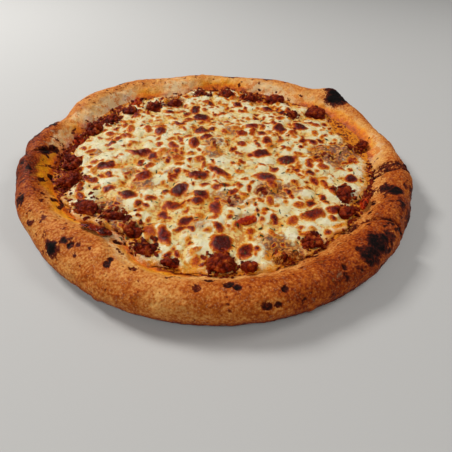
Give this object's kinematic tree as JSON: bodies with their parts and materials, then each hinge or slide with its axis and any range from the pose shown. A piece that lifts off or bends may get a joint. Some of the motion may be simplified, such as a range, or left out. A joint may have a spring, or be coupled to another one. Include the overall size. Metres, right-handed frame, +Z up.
{
  "type": "bolognese pizza",
  "caption": "Round baked pizza with a puffed rim, tomato sauce, browned melted cheese, herb flakes and clumps of minced meat.",
  "frame": {"origin": "middle of the flat underside, on the surface that the pizza rests on", "axes": "+Z up through the pizza, -Y towards the front, +X to the right"},
  "size_m": [0.32, 0.3146, 0.0276],
  "materials": {
    "dough": "baked, dry, with darker spots",
    "sauce": "moist, oily",
    "cheese": "melted, oily, with browned blisters",
    "mince": "crumbly, moist",
    "tomato": "moist",
    "browned_cheese": "crisp, oily"
  },
  "bodies": {
    "root": {"crust": "dough", "sauce": "sauce", "cheese": "cheese", "mince_01": "mince", "mince_02": "mince", "mince_03": "mince", "mince_04": "mince", "mince_05": "mince", "mince_06": "mince", "mince_07": "mince", "mince_08": "mince", "mince_09": "mince", "mince_10": "mince", "mince_11": "mince", "mince_12": "mince", "mince_13": "mince", "mince_14": "mince", "mince_15": "mince", "mince_16": "mince", "mince_17": "mince", "mince_18": "mince", "mince_19": "mince", "mince_20": "mince", "mince_21": "mince", "mince_22": "mince", "mince_23": "mince", "mince_24": "mince", "mince_25": "mince", "mince_26": "mince", "mince_27": "mince", "mince_28": "mince", "mince_29": "mince", "mince_30": "mince", "tomato_01": "tomato", "tomato_02": "tomato", "tomato_03": "tomato", "tomato_04": "tomato", "cheese_scrap": "browned_cheese"}
  },
  "joints": []
}
